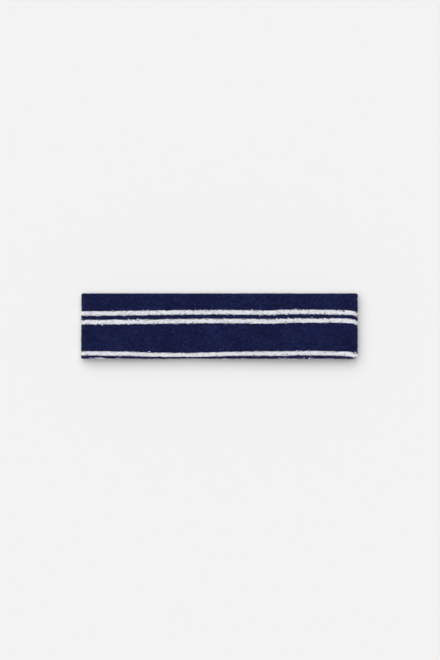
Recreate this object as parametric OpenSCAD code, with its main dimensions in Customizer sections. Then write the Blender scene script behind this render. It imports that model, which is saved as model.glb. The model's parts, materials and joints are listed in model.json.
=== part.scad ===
// Sports headband of doubled terry knit, lying flat as a closed loop.
// X runs along the flat loop, Y across the band, Z up; the origin is the middle of the underside.
// The band is cut into short stiff lengths, so that the flat loop can open into a ring.

/* [Band] */
// Length of the loop when it lies flat
band_l = 210; // [180:5:240]
// Width of the band
band_w = 50; // [46:1:60]
// Thickness of one doubled wall
wall_t = 4.5; // [4:0.1:6]
// Space between the two plies of a wall, where the elastic lies
core_t = 0.9; // [0.8:0.1:1.2]
// Slit between the front wall and the back wall
slit = 0.5; // [0.4:0.1:1]

/* [White stripes] */
// Width of one stripe
stripe_w = 3.5; // [2.4:0.1:3.6]
// Navy gap between the two stripes of a pair
stripe_gap = 3.1; // [2.4:0.1:3.6]
// Height of the upper pair above the middle of the band
upper_pair_y = 6.9; // [6.1:0.2:8.1]

/* [Elastic and closing seam] */
// Number of elastic yarns side by side
elastic_n = 11; // [5:1:12]
// Thickness of a covered elastic yarn
elastic_d = 0.7; // [0.4:0.1:0.8]
// Height of the closing seam above the middle of the band
seam_y = -3; // [-8:0.5:-1]

/* [Bending lengths] */
// Length of the middle stretch of each wall
middle_l = 70; // [60:2:90]
// Gap between neighbouring lengths
joint_gap = 0.3; // [0.2:0.05:0.4]

/* [Colours] */
// Navy yarn
navy = "#181d3f"; // color
// White yarn
white = "#e4e4ea"; // color
// Covered elastic yarn
elastic_colour = "#c9c6bd"; // color
// Linking thread of the closing seam
thread_colour = "#20264d"; // color

/* [Hidden] */
$fn = 48;
eps = 1;

ply_t = (wall_t - core_t) / 2;
mid_z = wall_t + slit / 2;

// A wall's section is drawn in (r, y): r is the distance from the mid plane of the flat loop.
r_in = slit / 2;
r_out = mid_z;
r_mid = (r_in + r_out) / 2;
edge_y = (band_w - wall_t) / 2;
fold_x = band_l / 2 - r_out;
half_mid = middle_l / 2;

// The stripe pairs repeat round the knitted tube; the lower pair straddles the bottom edge.
stripe_repeat = upper_pair_y + edge_y + stripe_gap / 2;
edge_arc = PI * wall_t / 2;
inner_pair_y = 2 * edge_y + edge_arc - upper_pair_y - stripe_repeat;
pair_half = stripe_gap / 2 + stripe_w;

// The two edges of the tube meet at a linked seam on the inner face.
seam_d = ply_t - 0.2;
seam_top = seam_y + seam_d / 2 + 0.05;
seam_bottom = seam_y - seam_d / 2 - 0.05;

elastic_span = 2 * edge_y - 3;
elastic_pitch = elastic_span / (elastic_n - 1);

// Each length: its name, the face it belongs to (-1 back, 1 front), where it runs along X,
// and for an end turn the side (-1 left, 1 right) in place of the run.
BACK = -1;
FRONT = 1;
WALLS = [
    ["back_middle", BACK, -half_mid, half_mid],
    ["back_right", BACK, half_mid, fold_x],
    ["back_left", BACK, -fold_x, -half_mid],
    ["front_right", FRONT, half_mid, fold_x],
    ["front_left", FRONT, -fold_x, -half_mid],
    ["front_middle_right", FRONT, 0, half_mid],
    ["front_middle_left", FRONT, -half_mid, 0],
];
TURNS = [
    ["right_fold_back", BACK, 1],
    ["right_fold_front", FRONT, 1],
    ["left_fold_back", BACK, -1],
    ["left_fold_front", FRONT, -1],
];
LENGTHS = concat(WALLS, TURNS);
LAYERS = ["outer_terry", "white_stripes", "inner_terry", "elastic", "closing_seam"];

// ---- Sections in the (r, y) plane ----

// A bar of thickness t with round edges, centred on the wall.
module rounded_bar(t) {
    translate([r_mid - t / 2, -edge_y]) square([t, 2 * edge_y]);
    for (side = [-1, 1]) translate([r_mid, side * edge_y]) circle(d = t);
}

// The doubled cloth: one ply turned over at both edges round the core.
module cloth_section() {
    difference() {
        rounded_bar(wall_t);
        rounded_bar(core_t);
    }
}

// Bands of the cloth between given heights, on its outer half or its inner half.
module outer_bands(heights) {
    for (h = heights) intersection() {
        cloth_section();
        translate([r_mid, h[0]]) square([wall_t / 2, h[1] - h[0]]);
    }
}

module inner_bands(heights) {
    for (h = heights) intersection() {
        cloth_section();
        translate([r_in, h[0]]) square([wall_t / 2, h[1] - h[0]]);
    }
}

// Heights of the two stripes of a pair, and of the navy between them.
function pair(y) = [[y - pair_half, y - stripe_gap / 2], [y + stripe_gap / 2, y + pair_half]];
function pair_middle(y) = [y - stripe_gap / 2, y + stripe_gap / 2];

top = band_w / 2;
bottom = -band_w / 2;
outer_white = concat(pair(upper_pair_y), [[-edge_y, stripe_w - edge_y]]);
outer_navy = [
    [bottom, -edge_y],
    [stripe_w - edge_y, upper_pair_y - pair_half],
    pair_middle(upper_pair_y),
    [upper_pair_y + pair_half, top],
];
inner_white = concat(pair(inner_pair_y), [[bottom, -edge_y]]);
inner_navy = [
    [-edge_y, seam_bottom],
    [seam_top, inner_pair_y - pair_half],
    pair_middle(inner_pair_y),
    [inner_pair_y + pair_half, top],
];

// ---- Placing a section along the loop ----

// How far a wall stops short of its end: the whole gap at a fold, half of it elsewhere.
function trim(x) = abs(x) == fold_x ? joint_gap : joint_gap / 2;

module wall_run(face, x0, x1) {
    low = x0 + trim(x0);
    high = x1 - trim(x1);
    translate([(low + high) / 2, 0, mid_z])
        rotate([0, -90 * face, 0])
            linear_extrude(high - low, center = true) children();
}

module end_turn(face, side) {
    start = side > 0 ? (face == BACK ? 0 : 270) : (face == BACK ? 90 : 180);
    reach = 2 * (r_out + eps);
    difference() {
        translate([side * fold_x, 0, mid_z])
            rotate([-90, 0, 0])
                rotate([0, 0, start])
                    rotate_extrude(angle = 90) children();
        translate([side * fold_x, 0, mid_z]) cube([reach, band_w + 2 * eps, joint_gap], center = true);
    }
}

module along(part) {
    if (len(part) == len(WALLS[0])) wall_run(part[1], part[2], part[3]) children();
    else end_turn(part[1], part[2]) children();
}

// ---- Sub-parts ----

// Navy terry on the outside of the loop, with the half of each edge fold that faces out.
module outer_terry(part) {
    color(navy) along(part) outer_bands(outer_navy);
}

// White terry bands knitted in on both faces.
module white_stripes(part) {
    color(white) along(part) {
        outer_bands(outer_white);
        inner_bands(inner_white);
    }
}

// Navy terry on the inside of the loop, in contact with the head.
module inner_terry(part) {
    color(navy) along(part) inner_bands(inner_navy);
}

// Covered elastic yarns laid side by side between the plies.
module elastic(part) {
    color(elastic_colour) along(part)
        for (i = [0 : elastic_n - 1])
            translate([r_mid, i * elastic_pitch - elastic_span / 2]) circle(d = elastic_d);
}

// Linked seam that closes the knitted tube on the inner face.
module closing_seam(part) {
    color(thread_colour) along(part)
        translate([r_in + ply_t / 2, seam_y]) circle(d = seam_d);
}

for (part = LENGTHS) {
    outer_terry(part);
    white_stripes(part);
    inner_terry(part);
    elastic(part);
    closing_seam(part);
}
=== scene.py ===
import json
import math

import bpy
import numpy as np
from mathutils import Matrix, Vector


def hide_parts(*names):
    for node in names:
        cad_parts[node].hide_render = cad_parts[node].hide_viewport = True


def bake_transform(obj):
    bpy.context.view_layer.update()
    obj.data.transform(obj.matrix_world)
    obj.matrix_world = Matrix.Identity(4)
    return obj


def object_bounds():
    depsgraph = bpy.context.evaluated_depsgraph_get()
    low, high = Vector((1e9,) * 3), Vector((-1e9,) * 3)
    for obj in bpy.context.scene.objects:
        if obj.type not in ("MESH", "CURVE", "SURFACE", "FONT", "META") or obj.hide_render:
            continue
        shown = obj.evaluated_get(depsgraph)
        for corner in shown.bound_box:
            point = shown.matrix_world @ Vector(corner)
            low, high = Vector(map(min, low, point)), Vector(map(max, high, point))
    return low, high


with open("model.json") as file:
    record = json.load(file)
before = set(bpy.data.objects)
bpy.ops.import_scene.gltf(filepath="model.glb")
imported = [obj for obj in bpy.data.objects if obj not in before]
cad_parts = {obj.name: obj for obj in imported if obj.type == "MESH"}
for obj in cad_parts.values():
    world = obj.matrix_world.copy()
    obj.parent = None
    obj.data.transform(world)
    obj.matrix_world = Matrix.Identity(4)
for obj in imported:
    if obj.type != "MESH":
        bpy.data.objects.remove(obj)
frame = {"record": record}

# A terry sports headband lying flat as a closed loop: a doubled knit tube, navy with white stripe pairs.
# Cloth lengths are in millimetres, and make_piece() turns them into the frame's metres.

MM = 0.001
SEED = 41

# ---- Sizes taken from the frame ----

CAD_LOW, CAD_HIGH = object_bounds()
JOINT_AT = {j["name"]: Vector(j["pos_m"]) / MM for j in frame["record"]["behaviour"]["joints"]}

BAND_W = (CAD_HIGH.y - CAD_LOW.y) / MM
STACK = CAD_HIGH.z / MM                          # both walls together
WALL_T = JOINT_AT["loop_open"].z                 # one doubled wall
CORNER_X = JOINT_AT["loop_open"].x               # where the middle of a wall ends
FOLD_X = JOINT_AT["right_fold_back_bend"].x      # where the end turns begin
TURN_R = JOINT_AT["right_fold_tip_bend"].z       # radius of an end turn, which is also its mid height
EDGE_R = WALL_T / 2                              # radius of the folded long edges
EDGE_Y = BAND_W / 2 - EDGE_R

# ---- The cloth, unrolled ----
# w runs along the loop from the middle of the front wall, to the right positive.
# p runs round the section: down the outer face, round the bottom edge, up the inner face, round the top.
# h is the depth under the pile's tips.

FACE = 2 * EDGE_Y
EDGE_ARC = math.pi * EDGE_R
INNER_P = FACE + EDGE_ARC                        # where the inner face begins
GIRTH = 2 * INNER_P
TURN = math.pi * TURN_R
HALF = 2 * FOLD_X + TURN                         # from the middle of the front to the middle of the back

PILE = 1.15                                      # height of the terry loops
GROUND_T = 0.7                                   # thickness of the knit they stand on

STRIPE_W = 3.5
STRIPE_GAP = 3.1
UPPER_PAIR_Y = 6.9                               # middle of the upper pair, above the band's middle
STRIPE_REPEAT = UPPER_PAIR_Y + EDGE_Y + STRIPE_GAP / 2
SEAM_Y = -3.0
SEAM_P = INNER_P + EDGE_Y + SEAM_Y
SEAM_CLEAR = 0.8                                 # half the width that the seam keeps free of pile

# Slow waves of the knit's rows: where along the loop, how far they reach and how high they lift.
UPPER_WAVES = [(-95, 48, -0.7), (-5, 25, 0.2), (35, 9, -0.3), (60, 18, 0.55), (112, 10, -2.2)]
GAP_WAVES = [(92, 16, 0.55)]                     # where the gap between the upper pair narrows
LOWER_WAVES = [(-100, 8, 0.3), (-52, 10, -0.35), (-26, 29, -1.1), (68, 14, 0.4), (112, 9, -1.8)]
BACK_WAVES = [(150, 30, 0.5), (-150, 24, -0.5), (195, 22, -0.4), (-190, 26, 0.4)]
RIM_WAVES = [(109, 9, -4.0)]                     # in the rows that fold under at the lower edge
PEEK_WAVES = [(-90, 4.5, 1.3)]                   # a bit of the fourth stripe that rolls into view

# How far the rows lift all along the loop.
UPPER_LIFT = 0.2
LOWER_LIFT = 0.3
RIM_LIFT = 0.2

# The rows over which some of these waves set in, and those over which they fade out.
GAP_ROWS = (13.5, 17.5)
LOWER_ROWS = ((22, 38), (56, SEAM_P - 2))
RIM_ROWS = ((FACE - 4, FACE + 0.5), (INNER_P, INNER_P + 12))
PEEK_ROWS = ((FACE - 0.5, FACE + 2.5), (INNER_P, INNER_P + 4))

LEAST_SLACK = 0.1                                # how far the faces lie inside the fullest shape
SLACK_SWING = 0.045                              # height of the two slow waves that add to it
FULLNESS = 0.22                                  # how far the folded edges stand out of it
LOW_SWELLS = [(60, 30, 0.5), (-24, 16, -0.5)]    # where the lower edge stands out further, and less
CREASE_R = 0.05                                  # least radius of the cloth in an end turn


def smooth(low, high, x):
    """A soft step from 0 to 1."""
    t = np.clip((x - low) / (high - low), 0, 1)
    return t * t * (3 - 2 * t)


def between(rows, p):
    """1 on the rows in the middle, with a soft step at either side."""
    setting_in, fading = rows
    return smooth(*setting_in, p) * (1 - smooth(*fading, p))


def waves(w, several):
    """The sum of bell-shaped swells along the loop, which closes on itself."""
    total = np.zeros_like(w)
    for middle, reach, height in several:
        away = np.mod(w - middle + HALF, 2 * HALF) - HALF
        total += height * np.exp(-((away / reach) ** 2))
    return total


def drift(w, p):
    """How far the knit's row at p rides up the band at w."""
    lower_share = between(LOWER_ROWS, p)
    upper = UPPER_LIFT + waves(w, UPPER_WAVES) + smooth(*GAP_ROWS, p) * waves(w, GAP_WAVES)
    lower = LOWER_LIFT + waves(w, LOWER_WAVES)
    rim = between(RIM_ROWS, p) * (RIM_LIFT + waves(w, RIM_WAVES))
    peek = between(PEEK_ROWS, p) * waves(w, PEEK_WAVES)
    return upper * (1 - lower_share) + lower * lower_share + waves(w, BACK_WAVES) + rim + peek


def slack(w, p):
    """How far the soft cloth lies inside its fullest shape, and outside it at the folded edges."""
    quilted = np.sin(w / 17 + 1.3) * np.sin(p / 9 + 0.4)
    slanted = np.sin(w / 9.5 + p / 14)
    from_fold = np.minimum(np.abs(p - FACE - EDGE_ARC / 2), np.abs(p + EDGE_ARC / 2))
    folded = 1 - smooth(0, EDGE_ARC / 2, from_fold)
    full = FULLNESS + (p > FACE / 2) * waves(w, LOW_SWELLS)
    inside = LEAST_SLACK + SLACK_SWING * (2 + quilted + slanted)
    return inside * (1 - folded) - full * folded


def section(p, h):
    """Height y across the band, and depth d under the loop's outside, of a point of the cloth."""
    p = np.mod(p, GIRTH)
    r = EDGE_R - h
    bottom = (p - FACE) / EDGE_R
    top = (p - INNER_P - FACE) / EDGE_R
    where = [p < FACE, p < INNER_P, p < INNER_P + FACE]
    y = np.select(where, [EDGE_Y - p, -EDGE_Y - r * np.sin(bottom), p - INNER_P - EDGE_Y],
                  EDGE_Y + r * np.sin(top))
    d = np.select(where, [h, EDGE_R - r * np.cos(bottom), WALL_T - h], EDGE_R + r * np.cos(top))
    return y, d


def place(w, y, d):
    """Points of the flat loop: along it by w, across it by y, and d under its outside."""
    side, far = np.where(w < 0, -1, 1), np.abs(w)
    turn = (far - FOLD_X) / TURN_R
    r = np.maximum(TURN_R - d, CREASE_R)
    where = [far < FOLD_X, far < FOLD_X + TURN]
    x = side * np.select(where, [far, FOLD_X + r * np.sin(turn)], HALF - far)
    z = np.select(where, [STACK - d, TURN_R + r * np.cos(turn)], d)
    return np.stack([x, np.broadcast_to(y, x.shape), z], axis=-1)


def fabric(w, p, h):
    """Points of the flat loop, from where they are in the unrolled cloth."""
    y, d = section(p - drift(w, p), h + slack(w, p))
    return place(w, y, d)


# ---- Stretches of the loop, each standing for two bodies ----

CUT_X = (CORNER_X + FOLD_X) / 2
TIP_SHARE = 0.21                                 # a tip piece leaves this share of the turn at each end
CUTS = [0, CUT_X, FOLD_X + TIP_SHARE * TURN, FOLD_X + (1 - TIP_SHARE) * TURN, HALF - CUT_X, HALF]
STRETCHES = ["front_middle", "front_end", "tip", "back_end", "back_middle"]


def bodies_of(stretch, side):
    """The two bodies that a stretch stands for."""
    return {
        "front_middle": (f"front_{side}", f"front_middle_{side}"),
        "front_end": (f"{side}_fold_front", f"front_{side}"),
        "tip": (f"{side}_fold_back", f"{side}_fold_front"),
        "back_end": (f"back_{side}", f"{side}_fold_back"),
        "back_middle": ("back_middle", f"back_{side}"),
    }[stretch]


def bend(piece):
    """Bakes the piece's placement into its mesh; the piece does not bend."""
    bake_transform(piece)


# ---- Mesh making ----

def make_piece(name, points, faces, material_list, face_materials=None, is_smooth=True):
    """A mesh object from points in millimetres and an array of four-sided faces."""
    mesh = bpy.data.meshes.new(name)
    count = len(faces)
    mesh.vertices.add(len(points))
    mesh.vertices.foreach_set("co", (points * MM).astype(np.float32).ravel())
    mesh.loops.add(4 * count)
    mesh.loops.foreach_set("vertex_index", faces.astype(np.int32).ravel())
    mesh.polygons.add(count)
    mesh.polygons.foreach_set("loop_start", np.arange(0, 4 * count, 4, dtype=np.int32))
    for material in material_list:
        mesh.materials.append(material)
    if face_materials is not None:
        mesh.polygons.foreach_set("material_index", face_materials.astype(np.int32))
    mesh.polygons.foreach_set("use_smooth", np.broadcast_to(is_smooth, count))
    mesh.update(calc_edges=True)
    mesh.validate()
    piece = bpy.data.objects.new(name, mesh)
    bpy.context.scene.collection.objects.link(piece)
    return piece


def grid_faces(index):
    """Faces between the points of a grid."""
    corners = [index[:-1, :-1], index[1:, :-1], index[1:, 1:], index[:-1, 1:]]
    return np.stack(corners, axis=-1).reshape(-1, 4)


def tube_walls(many, rings, sides, is_ring=False):
    """Side faces of many tubes of the same build, which may each close into a ring."""
    tube = np.arange(many)[:, None, None] * rings * sides
    step = np.arange(rings if is_ring else rings - 1)[None, :, None]
    k = np.arange(sides)[None, None, :]
    here, ahead = tube + step * sides, tube + (step + 1) % rings * sides
    after = (k + 1) % sides
    return np.stack([here + k, here + after, ahead + after, ahead + k], axis=-1).reshape(-1, 4)


def tube_caps(many, rings, sides):
    """Four-sided faces that close both ends of many tubes with an even number of sides."""
    tube = np.arange(many)[:, None] * rings * sides
    fans = [np.array([0, k, k + 1, k + 2]) for k in range(1, sides - 1, 2)]
    last = (rings - 1) * sides
    return np.concatenate([tube + fan[::-1] for fan in fans] + [tube + last + fan for fan in fans])


# ---- Terry pile ----

COLUMN_PITCH = 1.1
ROW_PITCH = 1.03
COLUMN_JITTER = 0.14
ROW_JITTER = 0.6
WHITE_INSET = 0.27                               # how far navy loops stand over into the white bands
# Ragged rows of loops: waves round the loop, how they turn from row to row, and how high they are.
RAGGED = [(79, 0.9, 0.13), (131, -1.7, 0.15), (247, 2.9, 0.33)]

YARN_R = 0.31
ARCH_RINGS = 7
ARCH_SIDES = 4
ARCH_CROWN = 0.75                                # below 1 for an arch with a broad top
ROOT_DEPTH = 0.1
# Each loop's shape: least and most.
HALF_WIDTH = (0.38, 0.62)
HEIGHT_SHARE = (0.72, 1.04)
YARN_SHARE = (0.85, 1.12)
# And how it stands: middle and spread.
TURNED = (0.3, 0.75)                             # in radians
LEAN_ALONG = (0, 0.16)
LEAN_ACROSS = (0.04, 0.25)

SHADE_SPREAD = 1.6
SHADE_LIMITS = (-0.75, 0.75)                     # between the dark, middle and light shades


def loop_roots(rng, sign, w0, w1, low, high):
    """Where the terry loops of a band stand: staggered rows along the knit."""
    columns = round(HALF / COLUMN_PITCH)
    rows = max(1, round((high - low) / ROW_PITCH))
    i, j = np.meshgrid(np.arange(columns), np.arange(rows), indexing="ij")
    w = ((i + 0.25 + 0.5 * (j % 2)) * HALF / columns).ravel()
    p = (low + (j + 0.5) * (high - low) / rows).ravel()
    keep = (w >= w0) & (w < w1)
    w, p = w[keep], p[keep]
    w = sign * w + rng.normal(0, COLUMN_JITTER, len(w))
    ragged = sum(height * np.sin(math.pi * n * w / HALF + turn * p) for n, turn, height in RAGGED)
    return w, p - ragged + rng.uniform(-ROW_JITTER, ROW_JITTER, len(p))


def arch(half_width, height, yarn_r, lean_along, lean_across):
    """A tube of yarn bent into an arch: how far along, across and up its points are from its root."""
    t = np.linspace(0, math.pi, ARCH_RINGS)
    along = lean_along * np.sin(t) ** 2 - half_width * np.cos(t)
    across = lean_across * np.sin(t) ** 2
    up = height * np.sin(t) ** ARCH_CROWN - ROOT_DEPTH
    run, rise = half_width * np.sin(t), height * np.cos(t)
    length = np.hypot(run, rise)
    k = np.arange(ARCH_SIDES) * 2 * math.pi / ARCH_SIDES + math.pi / 4
    out, beside = yarn_r * np.cos(k), yarn_r * np.sin(k)
    along = along[:, :, None] - out * (rise / length)[:, :, None]
    up = up[:, :, None] + out * (run / length)[:, :, None]
    return along, across[:, :, None] + beside, up


def loop_points(rng, w, p):
    """Small arches of yarn, each leaning and turned its own way, flattened where they meet the skin."""
    many = len(w)
    half_width = rng.uniform(*HALF_WIDTH, many)[:, None]
    height = ((PILE - YARN_R) * rng.uniform(*HEIGHT_SHARE, many))[:, None]
    yarn_r = (YARN_R * rng.uniform(*YARN_SHARE, many))[:, None, None]
    turned = rng.normal(*TURNED, many)[:, None, None]
    lean_along = rng.normal(*LEAN_ALONG, many)[:, None]
    lean_across = rng.normal(*LEAN_ACROSS, many)[:, None]
    along, across, up = arch(half_width, height, yarn_r, lean_along, lean_across)
    dw = along * np.cos(turned) - across * np.sin(turned)
    dp = along * np.sin(turned) + across * np.cos(turned)
    h = np.maximum(PILE - up, 0.0)
    return fabric(w[:, None, None] + dw, p[:, None, None] + dp, h).reshape(-1, 3)


def pile(name, rng, sign, w0, w1, bands, inset, shades):
    """Terry loops over the bands, kept off the seam, in shades that drift over the cloth."""
    first, last = SEAM_P - GIRTH + SEAM_CLEAR, SEAM_P - SEAM_CLEAR
    limits = [(max(low + inset, first), min(high - inset, last)) for low, high in bands]
    roots = [loop_roots(rng, sign, w0, w1, low, high) for low, high in limits]
    w, p = (np.concatenate(some) for some in zip(*roots))
    points = loop_points(rng, w, p)
    size = (len(w), ARCH_RINGS, ARCH_SIDES)
    faces = np.concatenate([tube_walls(*size), tube_caps(*size)])
    broad, narrow = np.sin(w / 11 + p / 17), np.sin(w / 4.3 - p / 5.1 + 2)
    patch = (broad + narrow) / 2 + rng.normal(0, SHADE_SPREAD, len(w))
    which = np.digitize(patch, SHADE_LIMITS)
    per_side = np.repeat(which, (ARCH_RINGS - 1) * ARCH_SIDES)
    return make_piece(name, points, faces, shades, np.concatenate([per_side, which, which]))


# ---- Knit ground under the pile ----

GROUND_H = PILE - 0.15                           # the knit's upper side, where the loops are rooted
WALL_STEP = 1.2
TURN_STEP = 0.8
ACROSS_STEP = 0.5


def bands_of(ply, colour):
    """The bands of one ply and colour round the tube, from the seam back to the seam."""
    pairs = [EDGE_Y - UPPER_PAIR_Y + k * STRIPE_REPEAT for k in (-1, 0, 1)]
    sides = (-STRIPE_GAP / 2 - STRIPE_W, STRIPE_GAP / 2)
    stripes = [(middle + side, middle + side + STRIPE_W) for middle in pairs for side in sides]
    folds = (-EDGE_ARC / 2, FACE + EDGE_ARC / 2)
    edges = sorted([SEAM_P - GIRTH, SEAM_P, *folds, *sum(stripes, ())])
    found = []
    for low, high in zip(edges[:-1], edges[1:]):
        middle = (low + high) / 2
        striped = any(a < middle < b for a, b in stripes)
        outside = folds[0] < middle < folds[1]
        if striped == (colour == "white") and outside == (ply == "outer"):
            found.append((low, high))
    return found


def slab(ws, ps):
    """A closed sheet of knit over a grid of w and p: its points, its faces, and which are its rim."""
    w, p = np.meshgrid(ws, ps, indexing="ij")
    upper = fabric(w, p, np.full(w.shape, GROUND_H))
    lower = fabric(w, p, np.full(w.shape, PILE + GROUND_T))
    n, m = w.shape
    index = np.arange(n * m).reshape(n, m)
    under = index + n * m
    rim = np.concatenate([index[:, 0], index[-1, 1:], index[-2::-1, -1], index[0, -2:0:-1]])
    low_rim = rim + n * m
    walls = np.stack([rim, low_rim, np.roll(low_rim, -1), np.roll(rim, -1)], axis=-1)
    faces = np.concatenate([grid_faces(index), grid_faces(under)[:, ::-1], walls])
    on_rim = np.arange(len(faces)) >= len(faces) - len(walls)
    return np.concatenate([upper.reshape(-1, 3), lower.reshape(-1, 3)]), faces, on_rim


def ground(name, sign, w0, w1, bands, material):
    """Sheets of knit, one for each band, as one piece."""
    is_turning = w0 >= CUT_X and w1 <= HALF - CUT_X
    step = TURN_STEP if is_turning else WALL_STEP
    ws = sign * np.linspace(w0, w1, max(3, math.ceil((w1 - w0) / step)))
    points, faces, rims, made = [], [], [], 0
    for low, high in bands:
        ps = np.linspace(low, high, max(3, math.ceil((high - low) / ACROSS_STEP)))
        some_points, some_faces, on_rim = slab(ws, ps)
        points.append(some_points)
        faces.append(some_faces + made)
        rims.append(on_rim)
        made += len(some_points)
    faces = np.concatenate(faces)
    faces = faces if sign < 0 else faces[:, ::-1]
    return make_piece(name, np.concatenate(points), faces, [material], is_smooth=~np.concatenate(rims))


# ---- Elastic and seam ----

ELASTIC_N = 11
ELASTIC_R = 0.35
ELASTIC_SIDES = 6
ELASTIC_MARGIN = 1.5                             # from the outermost yarns to where the edges fold
WINDING_PITCH = 0.9
WINDING_DEPTH = 0.07                             # as a share of the yarn's radius

LINK_PITCH = 2.6
LINK_RINGS = 16
LINK_SIDES = 6
LINK_HALF_L = 1.65
LINK_HALF_W = 0.5
LINK_DEPTH = 0.75
LINK_TILT = 0.22                                 # how far one end of a link lies over the next link
THREAD_R = 0.2


def elastic(name, sign, w0, w1, material):
    """Covered elastic yarns side by side between the plies, with the ridges of their winding."""
    rings = max(4, math.ceil((w1 - w0) / WINDING_PITCH))
    w = sign * np.linspace(w0, w1, rings)[None, :, None]
    span = EDGE_Y - ELASTIC_MARGIN
    middle = np.linspace(-span, span, ELASTIC_N)[:, None, None]
    k = (np.arange(ELASTIC_SIDES) * 2 * math.pi / ELASTIC_SIDES)[None, None, :]
    ridge = np.cos(math.pi * np.arange(rings))[None, :, None] - 1
    radius = ELASTIC_R * (1 + WINDING_DEPTH * ridge)
    y = middle + radius * np.cos(k) + 0 * w
    d = EDGE_R + radius * np.sin(k) + 0 * y
    points = place(w + 0 * y, y, d).reshape(-1, 3)
    size = (ELASTIC_N, rings, ELASTIC_SIDES)
    faces = np.concatenate([tube_walls(*size), tube_caps(*size)])
    return make_piece(name, points, faces if sign < 0 else faces[:, ::-1], [material])


def seam(name, sign, w0, w1, material):
    """Chain of thread links that joins the tube's edges on the inner face."""
    links = np.arange(math.ceil(w0 / LINK_PITCH - 0.5), math.ceil(w1 / LINK_PITCH - 0.5))
    middle = (sign * (links + 0.5) * LINK_PITCH)[:, None, None]
    around = (np.arange(LINK_RINGS) * 2 * math.pi / LINK_RINGS)[None, :, None]
    k = (np.arange(LINK_SIDES) * 2 * math.pi / LINK_SIDES)[None, None, :]
    along = (LINK_HALF_L + THREAD_R * np.cos(k)) * np.cos(around)
    across = (LINK_HALF_W + THREAD_R * np.cos(k)) * np.sin(around)
    depth = LINK_DEPTH - LINK_TILT * np.cos(around) - THREAD_R * np.sin(k)
    points = fabric(middle + along, SEAM_P + across + 0 * middle, depth + 0 * middle).reshape(-1, 3)
    faces = tube_walls(len(links), LINK_RINGS, LINK_SIDES, is_ring=True)
    return make_piece(name, points, faces, [material])


# ---- Materials ----

def principled(name, colour, roughness, sheen):
    """A matt material of one colour."""
    material = bpy.data.materials.new(name)
    material.use_nodes = True
    shader = material.node_tree.nodes["Principled BSDF"]
    shader.inputs["Base Color"].default_value = (*colour, 1)
    shader.inputs["Roughness"].default_value = roughness
    shader.inputs["Specular IOR Level"].default_value = 0.2
    shader.inputs["Sheen Weight"].default_value = sheen
    shader.inputs["Sheen Roughness"].default_value = 0.45
    return material


def add_bump(material, waves_per_m, distortion, depth_mm):
    """Fine ridges in the surface: the ply twist of a yarn, or the ribs of a knit."""
    tree = material.node_tree
    where = tree.nodes.new("ShaderNodeTexCoord")
    ridges = tree.nodes.new("ShaderNodeTexWave")
    ridges.bands_direction = "DIAGONAL"
    ridges.inputs["Scale"].default_value = waves_per_m * math.pi / 10
    ridges.inputs["Distortion"].default_value = distortion
    ridges.inputs["Detail"].default_value = 3
    ridges.inputs["Detail Scale"].default_value = 2
    raised = tree.nodes.new("ShaderNodeBump")
    raised.inputs["Strength"].default_value = 0.6
    raised.inputs["Distance"].default_value = depth_mm * MM
    tree.links.new(where.outputs["Object"], ridges.inputs["Vector"])
    tree.links.new(ridges.outputs["Fac"], raised.inputs["Height"])
    tree.links.new(raised.outputs["Normal"], tree.nodes["Principled BSDF"].inputs["Normal"])
    return material


def mottle(material, dark, light, scale):
    """Colour that varies slowly over the cloth."""
    tree = material.node_tree
    where = tree.nodes.new("ShaderNodeTexCoord")
    noise = tree.nodes.new("ShaderNodeTexNoise")
    noise.inputs["Scale"].default_value = scale
    noise.inputs["Detail"].default_value = 4
    ramp = tree.nodes.new("ShaderNodeValToRGB")
    ramp.color_ramp.elements[0].position = 0.3
    ramp.color_ramp.elements[0].color = (*dark, 1)
    ramp.color_ramp.elements[1].position = 0.7
    ramp.color_ramp.elements[1].color = (*light, 1)
    tree.links.new(where.outputs["Object"], noise.inputs["Vector"])
    tree.links.new(noise.outputs["Fac"], ramp.inputs["Fac"])
    tree.links.new(ramp.outputs["Color"], tree.nodes["Principled BSDF"].inputs["Base Color"])
    return material


def yarn(name, colour, sheen):
    """A plied yarn of one shade."""
    plain = principled(name, np.minimum(colour, 1), roughness=0.9, sheen=sheen)
    return add_bump(plain, waves_per_m=3800, distortion=2.5, depth_mm=0.05)


def knit(name, colour, dark, light):
    """A ribbed knit whose colour varies."""
    plain = principled(name, colour, roughness=0.95, sheen=0.1)
    ribbed = add_bump(plain, waves_per_m=900, distortion=1.5, depth_mm=0.4)
    return mottle(ribbed, colour * dark, colour * light, scale=400)


def thread(name, colour, dark, light):
    """A smooth wound thread."""
    plain = principled(name, colour, roughness=0.6, sheen=0.1)
    wound = add_bump(plain, waves_per_m=3000, distortion=1, depth_mm=0.06)
    return mottle(wound, colour * dark, colour * light, scale=900)


# The pile's shades, dark to light, are shares of each colour.
NAVY = np.array([0.0049, 0.0097, 0.071])
NAVY_SHADES = [(0.05, 0.2, 0.45), (0.75, 0.8, 0.9), (2.2, 1.9, 1.35)]
WHITE = np.array([0.83, 0.83, 0.87])
WHITE_SHADES = (0.92, 1.0, 1.07)

PILES = {
    "navy": [yarn(f"navy_pile_{i}", NAVY * f, sheen=0.04) for i, f in enumerate(NAVY_SHADES)],
    "white": [yarn(f"white_pile_{i}", WHITE * f, sheen=0.1) for i, f in enumerate(WHITE_SHADES)],
}
ELASTIC_COVER = thread("elastic_cover", WHITE, dark=0.7, light=0.85)
SEAM_THREAD = thread("seam_thread", NAVY, dark=1.1, light=1.7)
GROUNDS = {
    "navy": knit("navy_ground", NAVY, dark=0.5, light=0.8),
    "white": knit("white_ground", WHITE, dark=0.65, light=1.0),
}


# ---- Building the headband ----

def nodes_for(stretch, side, layer):
    """The CAD nodes that a stretch's piece stands for."""
    return [f"{body}_{layer}" for body in bodies_of(stretch, side)]


def join(piece, stretch, side, layer):
    """Hides the CAD nodes that a piece stands for, and bakes the piece's placement into its mesh."""
    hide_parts(*nodes_for(stretch, side, layer))
    bend(piece)


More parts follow.
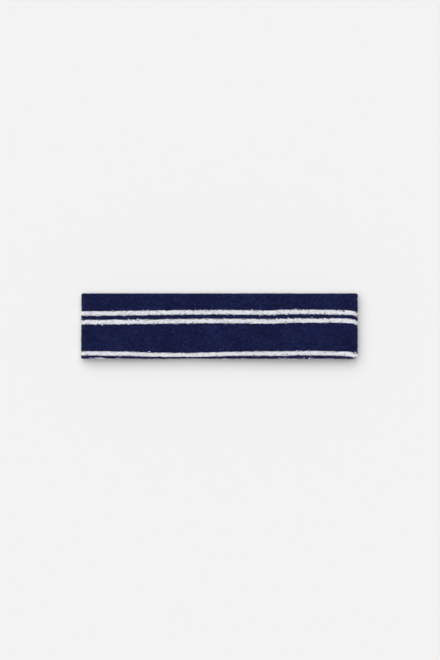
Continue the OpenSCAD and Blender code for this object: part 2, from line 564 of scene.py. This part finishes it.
def build_stretch(stretch, side, number):
    """All the pieces of one stretch: knit and pile for each ply and colour, elastic, and seam."""
    sign = 1 if side == "right" else -1
    k = STRETCHES.index(stretch)
    w0, w1 = CUTS[k], CUTS[k + 1]
    rng = np.random.default_rng(SEED + number)
    for ply in ("outer", "inner"):
        for colour in ("navy", "white"):
            layer = "white_stripes" if colour == "white" else f"{ply}_terry"
            name = f"{side}_{stretch}_{ply}_{colour}"
            bands = bands_of(ply, colour)
            inset = WHITE_INSET if colour == "white" else -WHITE_INSET
            loops = pile(f"{name}_pile", rng, sign, w0, w1, bands, inset, PILES[colour])
            sheet = ground(f"{name}_knit", sign, w0, w1, bands, GROUNDS[colour])
            for piece in (loops, sheet):
                join(piece, stretch, side, layer)
    yarns = elastic(f"{side}_{stretch}_elastic", sign, w0, w1, ELASTIC_COVER)
    chain = seam(f"{side}_{stretch}_seam", sign, w0, w1, SEAM_THREAD)
    join(yarns, stretch, side, "elastic")
    join(chain, stretch, side, "closing_seam")


# ---- Camera, floor and light ----

VIEW_H = 497.0                                   # height of the scene that the picture takes in
VIEW_MIDDLE = (0.4, -2.8)                        # where the camera looks straight down
LENS = 100.0
SENSOR = 36.0
FLOOR_HALF = 3000.0
FLOOR_COLOUR = (0.71, 0.708, 0.71)

# A studio that glows low down all round, under one wide soft light.
GLOW = 0.9
GLOW_TOP = (11, 16)                              # degrees above the horizon, over which the glow ends
DARKER = 0.05                                    # what is left of it overhead
SOFTBOX_FROM = (-0.22, 0.38, 1.0)
SOFTBOX_SPREAD = 86                              # degrees
SOFTBOX_STRENGTH = 4.0


def add_camera():
    data = bpy.data.cameras.new("camera")
    data.lens, data.sensor_width = LENS, SENSOR
    camera = bpy.data.objects.new("camera", data)
    camera.location = Vector((*VIEW_MIDDLE, STACK + VIEW_H * LENS / SENSOR)) * MM
    bpy.context.scene.collection.objects.link(camera)
    bpy.context.scene.camera = camera


def add_floor():
    r = FLOOR_HALF
    corners = np.array([[-r, -r, 0], [r, -r, 0], [r, r, 0], [-r, r, 0]])
    material = principled("floor", FLOOR_COLOUR, roughness=0.9, sheen=0)
    floor = make_piece("floor", corners, np.array([[0, 1, 2, 3]]), [material], is_smooth=False)


def add_glow():
    world = bpy.data.worlds.new("studio")
    world.use_nodes = True
    tree = world.node_tree
    where = tree.nodes.new("ShaderNodeTexCoord")
    split = tree.nodes.new("ShaderNodeSeparateXYZ")
    height = tree.nodes.new("ShaderNodeMapRange")
    height.inputs["From Min"].default_value = math.sin(math.radians(GLOW_TOP[0]))
    height.inputs["From Max"].default_value = math.sin(math.radians(GLOW_TOP[1]))
    height.inputs["To Min"].default_value = GLOW
    height.inputs["To Max"].default_value = DARKER
    tree.links.new(where.outputs["Generated"], split.inputs["Vector"])
    tree.links.new(split.outputs["Z"], height.inputs["Value"])
    tree.links.new(height.outputs["Result"], tree.nodes["Background"].inputs["Strength"])
    tree.nodes["Background"].inputs["Color"].default_value = (1, 1, 1, 1)
    bpy.context.scene.world = world


def add_softbox():
    data = bpy.data.lights.new("softbox", "SUN")
    data.energy, data.angle = SOFTBOX_STRENGTH, math.radians(SOFTBOX_SPREAD)
    softbox = bpy.data.objects.new("softbox", data)
    softbox.rotation_mode = "QUATERNION"
    softbox.rotation_quaternion = Vector(SOFTBOX_FROM).to_track_quat("Z", "Y")
    bpy.context.scene.collection.objects.link(softbox)


add_camera()
add_floor()
add_glow()
add_softbox()
bpy.context.scene.view_settings.view_transform = "Standard"

number = 0
for side in ("right", "left"):
    for stretch in STRETCHES:
        number += 1
        build_stretch(stretch, side, number)
